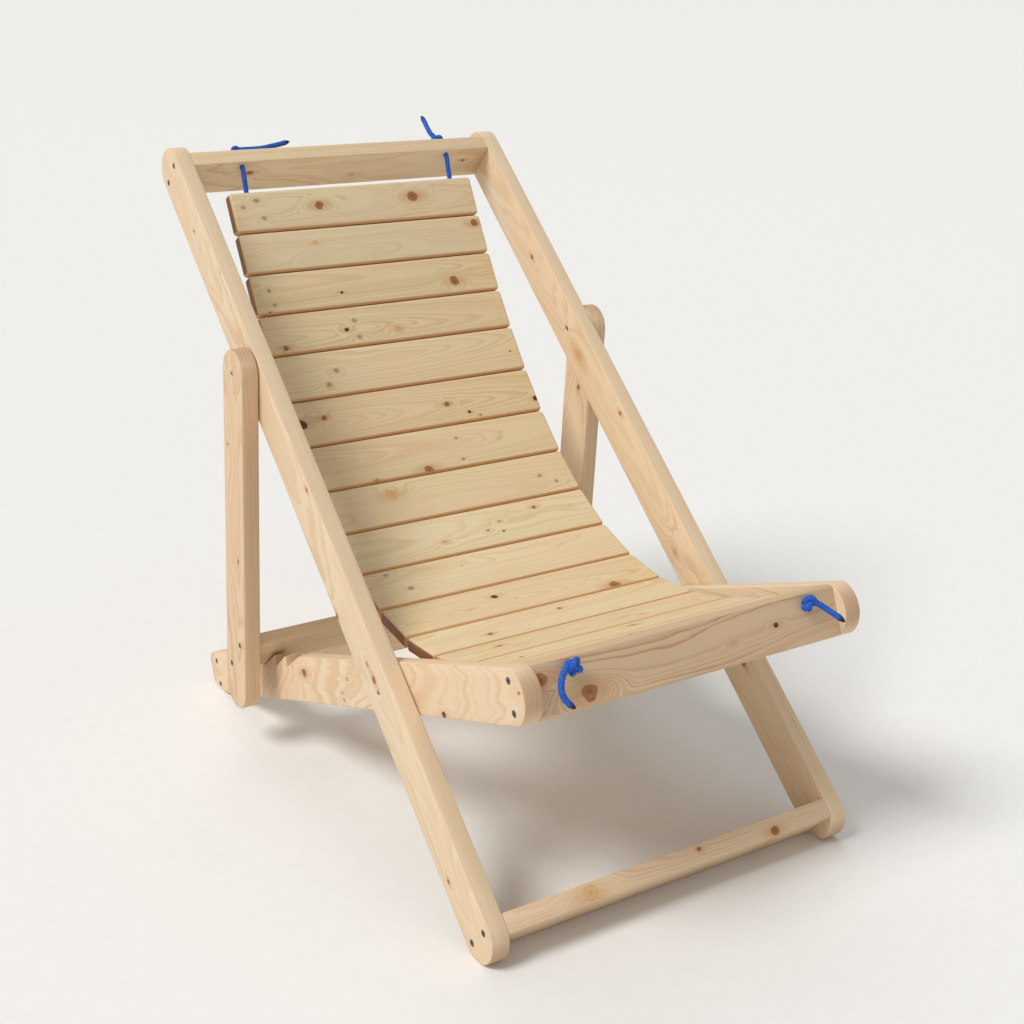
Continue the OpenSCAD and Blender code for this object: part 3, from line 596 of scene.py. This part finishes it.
# Prop frame: two round-ended legs and the crossbar that drops into the notches
leg = long_board("prop_leg_board_right", LEG_X, LEG_X + BOARD_T, LEG_LEN)
ease(leg, LEG_EASE)
bore(leg, LEG_X, LEG_X + BOARD_T, 0)
bar_in_leg = IN_PROP.inverted() @ IN_BAR
leg_screws = [tuple((bar_in_leg @ Vector((0, up * BAR_SCREW_APART / 2, 0)))[1:]) for up in (-1, 1)]
countersinks(leg, LEG_X + BOARD_T, leg_screws)
other = mirrored(leg, "prop_leg_board_left")
finish_board(leg, IN_PROP, "prop_frame", "frame_pine",
             planed_pine("planed_pine_prop_leg_right", (10, 42), 1.3, 41.8,
                         [(106, -6, 4, "brown"), (330, 12, 3, "dark")], "#ddc5a3", "#c0966d"),
             "YZX", "prop_leg_right")
finish_board(other, IN_PROP, "prop_frame", "frame_pine",
             planed_pine("planed_pine_prop_leg_left", (-26, 48), 0.8, 46.1,
                         [(118, 20, 2, "dark"), (300, -14, 3, "brown")], "#dcc1a0", "#bd8f66"),
             "YZX", "prop_leg_left")

crossbar = block("prop_cross_bar", (-LEG_X, -BAR_W / 2, -BAR_T / 2), (LEG_X, BAR_W / 2, BAR_T / 2))
ease(crossbar, BAR_R, 4)
finish_board(crossbar, IN_BAR, "prop_frame", "frame_pine",
             planed_pine("planed_pine_cross_bar", (8, 38), 1.8, 51.4,
                         [(-60, 8, 5, "brown"), (150, -14, 3, "dark")], "#dfcbaa", "#c9a372"),
             "XYZ", "prop_bar")

# Slats: two widths, each modelled once, with rounded edges and a rope hole near either end
slat_kinds = {}
for width in (NARROW_W, WIDE_W):
    half = width / 2 + SLAT_SWELL
    slat = block("slat_model", (-SLAT_LEN / 2, -half, -SLAT_T / 2), (SLAT_LEN / 2, half, SLAT_T / 2))
    work(slat, lambda edge: abs(edge.verts[0].co.z - edge.verts[1].co.z) > 1, bpy.ops.mesh.bevel,
         offset=SLAT_CORNER, segments=6)
    ease(slat, SLAT_EASE, 6)
    rope_holes(slat, -width / 2, width / 2)
    slat_kinds[width] = slat

# The knots that each slat has: place along and across it, radius and kind
SLAT_MARKS = [
    [(-206, 8, 3.2, "grey"), (-180, 18, 4, "grey"), (-174, -12, 3.4, "grey"), (-73, 3, 6.5, "brown"),
     (105, 6, 8, "brown")],
    [(-96, 9, 3, "pale"), (210, 19, 6, "brown")],
    [(-197, 6, 3, "grey"), (-193, -19, 3, "grey"), (-72, -10, 2.2, "dark"), (141, -11, 7, "brown"),
     (-204, -31, 2, "dark")],
    [(-64, 10, 3.5, "grey"), (-82, -4, 3.6, "dark"), (10, -13, 4, "pale"), (-63, -19, 3.5, "grey"),
     (-194, -23, 4, "brown")],
    [(-121, 3, 4, "grey"), (-140, -19, 4, "grey"), (205, -5, 1.4, "dark")],
    [(-209, 1, 8, "dark"), (-168, 6, 4, "brown"), (52, -3, 4, "brown"), (219, -17, 4, "dark"),
     (88, -23, 2.6, "dark"), (105, -31, 1.5, "brown")],
    [(-24, -33, 7, "brown"), (-120, -37, 3.5, "brown"), (45, 14, 2.6, "grey"), (42, -25, 2.6, "grey")],
    [(-106, 13, 8, "pale"), (162, -2, 3, "grey"), (187, -18, 3, "grey")],
    [(-60, -12, 3, "pale"), (120, 20, 3, "brown"), (48, 6, 2.4, "grey"), (20, -7, 2.4, "grey"),
     (45, -14, 1.8, "dark")],
    [(-182, 27, 3, "grey"), (-158, -10, 4, "grey"), (-59, 13, 1, "brown")],
    [(-50, 8, 4.5, "dark"), (142, -32, 8, "brown")],
    [(18, 14, 2.6, "dark"), (-120, -14, 4, "brown")],
    [(-140, 8, 4, "brown"), (90, -12, 3, "pale")],
    [(30, 6, 5, "brown"), (-170, -18, 3, "dark")],
    [(-40, -8, 5, "brown"), (150, 14, 3, "grey")]]
# Where each slat's pith lies, how it leans, and the tones of its early and late wood
SLAT_WOOD = [((6, 70), 1.0, "#e1d2ac", "#d3b787"), ((-20, 90), 0.4, "#dfd2ad", "#d4bb8e"),
             ((14, 44), 1.6, "#dfcfa4", "#cbab77"), ((-8, 36), 2.2, "#e0d0a7", "#cba975"),
             ((22, 64), 1.2, "#e2d2ab", "#d0b17f"), ((-4, 30), 2.6, "#dfcfa4", "#c9a670"),
             ((10, 52), 1.4, "#dfd0a6", "#cdae7b"), ((-16, 60), 1.0, "#e0d0a7", "#cfb07d"),
             ((8, 80), 0.8, "#e2d4ad", "#d4ba89"), ((18, 56), 1.2, "#e0d2a9", "#d0b482"),
             ((-10, 22), 3.4, "#dfcda4", "#c6a26c"), ((24, 48), 1.4, "#e0d1a9", "#cdaf7c"),
             ((-6, 40), 2.0, "#decda3", "#c8a56e"), ((12, 66), 1.0, "#e0d0a8", "#cfae7a"),
             ((4, 50), 1.6, "#dfcfa6", "#cba875")]
# Slats before the open joint move in pairs, the others one by one
SLAT_BODIES = ["slat_pair_%02d" % (i // 2 * 2 + 1) if i < OPEN_JOINT else "slat_body_%02d" % (i + 1)
               for i in range(SLATS)]
for i, (marks, wood) in enumerate(zip(SLAT_MARKS, SLAT_WOOD)):
    number = "%02d" % (i + 1)
    slat = own_copy(slat_kinds[slat_w[i]], "sling_slat_" + number)
    pith, lean, light, late = wood
    # The slats' ends: end grain, darkened further as painted shade from the side boards
    pine = planed_pine("planed_pine_slat_" + number, pith, lean, 60 + 4.7 * i, marks, light, late,
                       ring=SLAT_RING, ends=("#7c4a1e", 0.95), edge_shade_tint="#c9935c")
    place = IN_SLAT[i] @ Matrix.Translation((0, -SLAT_GAP / 2 - slat_w[i] / 2, 0))
    finish_board(slat, place, SLAT_BODIES[i], "slat_pine", pine, "XYZ", "slat_" + number)
for slat in slat_kinds.values():
    bpy.data.objects.remove(slat)

# Ropes
cord_finish = braided_rope()


def in_metres(place, points):
    return [place @ Vector(p) for p in points]


def spline(points, steps):
    """The curve that the part's source draws through a route's points, with more steps."""
    line, last = [], len(points) - 1
    for i in range(last):
        a, b, c, d = (np.array(points[min(max(k, 0), last)], float) for k in (i - 1, i, i + 1, i + 2))
        for k in range(steps):
            t = k / steps
            line.append(0.5 * (2 * b + (c - a) * t + (2 * a - 5 * b + 4 * c - d) * t * t
                               + (3 * b - a - 3 * c + d) * t ** 3))
    return np.array([*line, np.array(points[-1], float)])


def evenly(points, step):
    """The same line with points a fixed step apart."""
    points = np.array(points, float)
    run = np.r_[0, np.cumsum(np.linalg.norm(np.diff(points, axis=0), axis=1))]
    places = np.linspace(0, run[-1], max(2, round(run[-1] / step) + 1))
    return np.column_stack([np.interp(places, run, points[:, k]) for k in range(3)])


def crown_at(strand, lay):
    """How high the upper strand stands at a place of the braid, from 0 to 1."""
    one, two = strand + lay, strand - lay
    over_one = (int(one // 1) + int(two // 1)) % 2 == 0
    return sin(pi * ((one if over_one else two) % 1))


def rope(name, lines, radius, sides=20, tip=0):
    """Round braid along each line of points (metres), with a map that counts strands and millimetres,
    and with the strands' own relief in the mesh. A tip is melted to a short point."""
    points, faces, mapped, melted = [], [], [], []
    for line in lines:
        line = np.array(line)
        way = np.gradient(line, axis=0)
        way /= np.linalg.norm(way, axis=1)[:, None]
        side = np.cross(way[0], (0.3, 0.5, 0.8))
        run = np.r_[0, np.cumsum(np.linalg.norm(np.diff(line, axis=0), axis=1))] / MM
        start = len(points)
        for k, (centre, ahead_now) in enumerate(zip(line, way)):
            side = side - ahead_now * side.dot(ahead_now)
            side /= np.linalg.norm(side)
            other_side = np.cross(ahead_now, side)
            left = run[-1] - run[k]
            close = 1.0 if left >= tip or not tip else max(0.15, (left / tip) ** 0.5)
            for j in range(sides):
                turn = 2 * pi * j / sides
                crown = crown_at(STRANDS * j / sides, run[k] / STRAND_LAY)
                grow = radius * close * (1 - STRAND_RELIEF + STRAND_RELIEF * crown)
                points.append(centre + grow * (side * cos(turn) + other_side * sin(turn)))
                melted.append(min(1.0, max(0.0, 1.6 - left / tip)) if tip else 0.0)
        rings = len(line)
        for k in range(rings - 1):
            for j in range(sides):
                a, b = start + k * sides + j, start + k * sides + (j + 1) % sides
                faces.append((a, b, b + sides, a + sides))
                u, v = STRANDS * j / sides, STRANDS * (j + 1) / sides
                mapped += [(u, run[k]), (v, run[k]), (v, run[k + 1]), (u, run[k + 1])]
        for ring, step in ((0, -1), (rings - 1, 1)):
            cap = tuple(start + ring * sides + j for j in range(sides))[::step]
            faces.append(cap)
            mapped += [(0.0, run[ring])] * sides
    mesh = bpy.data.meshes.new(name)
    mesh.from_pydata([tuple(p) for p in points], [], faces)
    mesh.uv_layers.new(name="along").data.foreach_set("uv", np.array(mapped, np.float32).ravel())
    mesh.attributes.new("melted", "FLOAT", "POINT").data.foreach_set("value", np.array(melted, np.float32))
    mesh.polygons.foreach_set("use_smooth", [len(f) == 4 for f in faces])
    mesh.materials.append(cord_finish)
    piece = bpy.data.objects.new(name, mesh)
    bpy.context.collection.objects.link(piece)
    return piece


def joint_place(k):
    return Vector((0, (rope_joints[k][0] - MID_Y) * MM, rope_joints[k][1] * MM))


def slat_middle(i):
    return (joint_place(i) + joint_place(i + 1)) / 2


def both_sides(line):
    return [[(x * MM, p[1], p[2]) for p in line] for x in (-ROPE_X, ROPE_X)]


def bend(before, corner, after, radius=3.2):
    """Two straight runs with the corner between them rounded, as points a rope step apart."""
    first = corner + (before - corner).normalized() * radius * MM
    last = corner + (after - corner).normalized() * radius * MM
    arc = [first.lerp(corner, t).lerp(corner.lerp(last, t), t) for t in (0, 0.25, 0.5, 0.75, 1)]
    return evenly([before, *arc, after], ROPE_STEP * MM)


def bend_at(piece, way, reach=4):
    """Bakes the rope's place into its mesh; the rope is put on no body."""
    way = way.normalized() * reach * MM
    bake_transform(piece)


rope_r = ROPE_D / 2 * MM
head_bends = [(0, TOP_RAIL_UNDER - drop * HEAD_DROP, HEAD_HOLE_RISE - back * (HEAD_HOLE_RISE - HEAD_RISE))
              for drop, back in HEAD_BEND_SHARES]
head_line = spline([(0, TOP_RAIL_UNDER + BOARD_T - 1, HEAD_HOLE_RISE), *head_bends], 8)
head_line = in_metres(IN_BACK, evenly(head_line, ROPE_STEP))
into_slat = bend(head_line[-4], joint_place(0), slat_middle(0))[2:]
piece = rope("sling_rope_head", both_sides([*head_line[:-3], *into_slat]), rope_r)
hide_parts("head_ropes", "rope_01")
bend_at(piece, slat_middle(0) - head_line[-6], reach=5)
for i in range(SLATS - 1):
    name, corner = "sling_rope_%02d" % (i + 1), joint_place(i + 1)
    stands_for = "rope_%02d" % (i + 1), "rope_%02d" % (i + 2)
    if i + 1 == OPEN_JOINT:
        for part, ends, body in (("upper", (slat_middle(i), corner), SLAT_BODIES[i]),
                                 ("lower", (corner, slat_middle(i + 1)), SLAT_BODIES[i + 1])):
            piece = rope(name + "_" + part, both_sides(evenly(ends, ROPE_STEP * MM)), rope_r)
            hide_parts(*stands_for)
            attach(piece, body)
        continue
    piece = rope(name, both_sides(bend(slat_middle(i), corner, slat_middle(i + 1))), rope_r)
    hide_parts(*stands_for)
    if SLAT_BODIES[i] == SLAT_BODIES[i + 1]:
        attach(piece, SLAT_BODIES[i])
    else:
        bend_at(piece, slat_middle(i + 1) - slat_middle(i))

last = SLATS - 1
front_hole = IN_SEAT @ Vector((0, FRONT_FACE + BOARD_T, FRONT_HOLE_RISE))
front_mouth = IN_SEAT @ Vector((0, FRONT_FACE + 1, FRONT_HOLE_RISE))
line = [*bend(slat_middle(last), joint_place(SLATS), front_hole)[:-2],
        *bend(joint_place(SLATS).lerp(front_hole, 0.6), front_hole, front_mouth)]
piece = rope("sling_rope_front", both_sides(line), rope_r)
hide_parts("rope_%02d" % SLATS, "front_ropes")
bend_at(piece, front_hole - slat_middle(last))

# Loose ends: routes from the holes' mouths, across, out of the rail and up, as in the part's source
TAILS = {"head_left": [(8, 8, 0), (24, 8, 0), (46, 8, 1), (70, 10, 4), (96, 13, 8)],
         "head_right": [(-4, 10, 0), (-9, 20, 0), (-10, 34, 0), (-9, 50, -1), (-9, 64, -2)],
         "front_left": [(-7, 9, 2), (-15, 12, 0), (-24, 13, -12), (-27, 14, -26), (-22, 15, -39),
                        (-13, 16, -48)],
         "front_right": [(6, 10, 1), (12, 14, -3), (22, 20, -14), (30, 27, -24), (37, 31, -33)]}


def at_mouth(end, side):
    """The hole's mouth that a knot sits on: X across, Y out of the rail, Z up."""
    x = -ROPE_X if side == "left" else ROPE_X
    if end == "head":
        return IN_BACK @ Matrix.Translation((x, TOP_RAIL_UNDER + BOARD_T, HEAD_HOLE_RISE))
    return IN_SEAT @ Matrix.Translation((x, FRONT_FACE, FRONT_HOLE_RISE)) @ Matrix.Diagonal((1, -1, 1, 1))


# An overhand knot drawn tight on its hole, as points along the rope's middle line: it comes out of
# the rail, turns up and back in a wide loop round itself, and leaves through that loop
KNOT = [(0, -3, 0), (2, 3, -6.5), (2, 6.5, -7.5), (-1, 8.5, -2), (-4.5, 10, 4.5), (-3, 13.5, 7.5),
        (0, 15, 7.5), (3, 16, 6), (8, 14.5, 1.5), (9, 12.5, -0.5), (8.5, 10.5, -1.5), (5.5, 6.5, -0.5),
        (2.5, 5, -0.5), (-1, 4, -1.5), (-7, 6.5, -4.5), (-8, 9, -5), (-7, 11, -4.5), (-1.5, 13, -0.5),
        (1.5, 12.5, 1.5), (3.5, 11, 4.5), (6.5, 10, 6), (9.5, 9, 5)]
# How wide each knot is, mirrored where negative, how far it stands off the rail and how low it hangs
KNOT_TURNS = {"head_left": (0.95, 0.58, 4), "head_right": (-0.95, 0.58, 4),
              "front_left": (-0.85, 0.95, 0), "front_right": (0.85, 0.95, 0)}
for key, route in TAILS.items():
    end, side = key.split("_")
    place = at_mouth(end, side)
    body = "back_frame" if end == "head" else "seat_frame"
    turn, squeeze, drop = KNOT_TURNS[key]
    start, after = np.array(route[0], float), np.array(route[1], float)
    line = [(x * turn, y * squeeze, z - drop * min(1, i / 3)) for i, (x, y, z) in enumerate(KNOT)]
    line = in_metres(place, evenly(spline([*line, start + (after - start) * 0.6, after], 8), KNOT_STEP))
    knot = rope("overhand_knot_" + key, [line], TAIL_D / 2 * MM)
    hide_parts(end + "_knots")
    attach(knot, body)
    line = in_metres(place, evenly(spline(route, 12), KNOT_STEP))
    tail = rope("loose_end_" + key, [line], TAIL_D / 2 * MM, sides=24, tip=TIP_LEN)
    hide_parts("%s_tail_%s" % (end, side))
    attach(tail, body)

# Fittings keep their solids: pins and washers in bright zinc, and screws, sunk in their seats, in dull
pin_zinc = zinc_plate("bright_zinc_plate", "#8f9499", "#c9cdd2")
screw_zinc = zinc_plate("dull_zinc_plate", "#4e5155", "#777b80")
for name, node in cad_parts.items():
    if name.endswith("screws") or "pivot" in name:
        for place in node.material_slots:
            place.material = screw_zinc if name.endswith("screws") else pin_zinc

# Floor and light: a pale matt floor, three soft suns, and a world that is shown in the floor's tone
FLOOR_R, WORLD_LIGHT = 150, 0.40
material, tree = new_material("pale_studio_floor")
speckle = add(tree, "TexNoise", add(tree, "TexCoord", out=3), None, 40, 4, 0.6)
tone = add(tree, "Mix", speckle, named={6: "#e6e4e0", 7: "#ecebe8"}, data_type="RGBA", out=2)
add(tree, "OutputMaterial", add(tree, "BsdfPrincipled", tone, named={"Roughness": 0.85}))
bpy.ops.mesh.primitive_circle_add(vertices=96, radius=FLOOR_R, fill_type="NGON")
floor = bpy.context.object
floor.name = "studio_floor"
floor.data.materials.append(material)

# Suns: strength, how wide they are in degrees, and the way that their light goes
SUNS = {"key": (2.25, 24, (0.72, -0.02, -0.85)), "fill": (0.28, 30, (0.45, 0.82, -0.35)),
        "back": (0.4, 40, (-0.2, -0.6, -0.95))}
for name, (strength, wide, direction) in SUNS.items():
    lamp = bpy.data.objects.new(name, bpy.data.lights.new(name, "SUN"))
    lamp.data.energy, lamp.data.angle = strength, radians(wide)
    lamp.rotation_mode = "QUATERNION"
    lamp.rotation_quaternion = Vector(direction).to_track_quat("-Z", "Y")
    bpy.context.collection.objects.link(lamp)
world = bpy.data.worlds.new("studio")
world.use_nodes = True
bpy.context.scene.world = world
tree = world.node_tree
tree.nodes.clear()
lit = add(tree, "Background", "#ffffff", WORLD_LIGHT)
shown = add(tree, "Background", "#ecebe9", 1.0)
add(tree, "OutputWorld", add(tree, "MixShader", add(tree, "LightPath"), lit, shown))

bpy.context.scene.view_settings.view_transform = "Standard"
